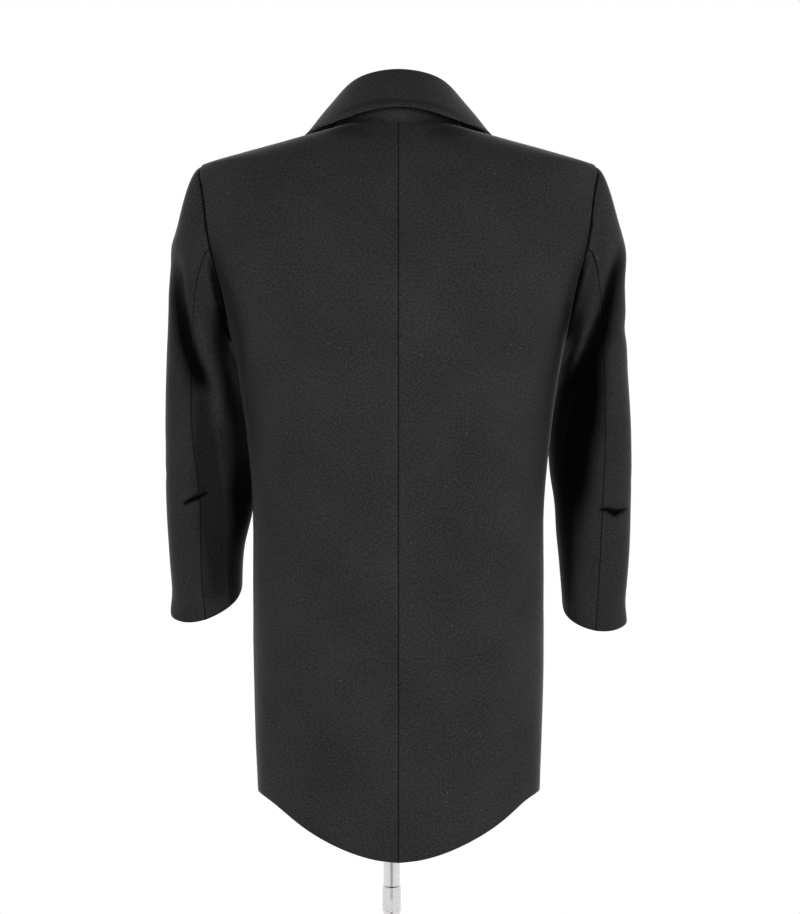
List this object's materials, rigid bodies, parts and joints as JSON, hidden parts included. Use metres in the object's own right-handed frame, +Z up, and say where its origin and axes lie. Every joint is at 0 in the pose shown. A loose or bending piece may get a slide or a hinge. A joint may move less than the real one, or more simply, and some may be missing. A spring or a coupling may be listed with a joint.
{
  "type": "short coat on a dress form stand",
  "caption": "Straight short wool coat with turn-down collar, notched lapels and set-in sleeves, standing on a limbless dress form with a pole and a round base.",
  "frame": {"origin": "middle of the bounding box on the floor, under the coat's centre line", "axes": "+Z up; the coat's back faces +Y, its front -Y, and the wearer's left side is +X"},
  "size_m": [0.5506, 0.36, 1.4976],
  "materials": {
    "wool": "napped charcoal wool",
    "horn": "polished black button",
    "form_cover": "plain cotton cover",
    "stand_metal": "brushed bright metal"
  },
  "bodies": {
    "root": {"back_left": "wool", "back_right": "wool", "front_left": "wool", "front_right": "wool", "sleeve_top_left": "wool", "sleeve_top_right": "wool", "sleeve_under_left": "wool", "sleeve_under_right": "wool", "collar_stand": "wool", "collar_leaf": "wool", "lapel_left": "wool", "lapel_right": "wool", "button_1": "horn", "button_2": "horn", "button_3": "horn", "form_torso": "form_cover", "form_pole": "stand_metal", "form_base": "stand_metal"}
  },
  "joints": []
}
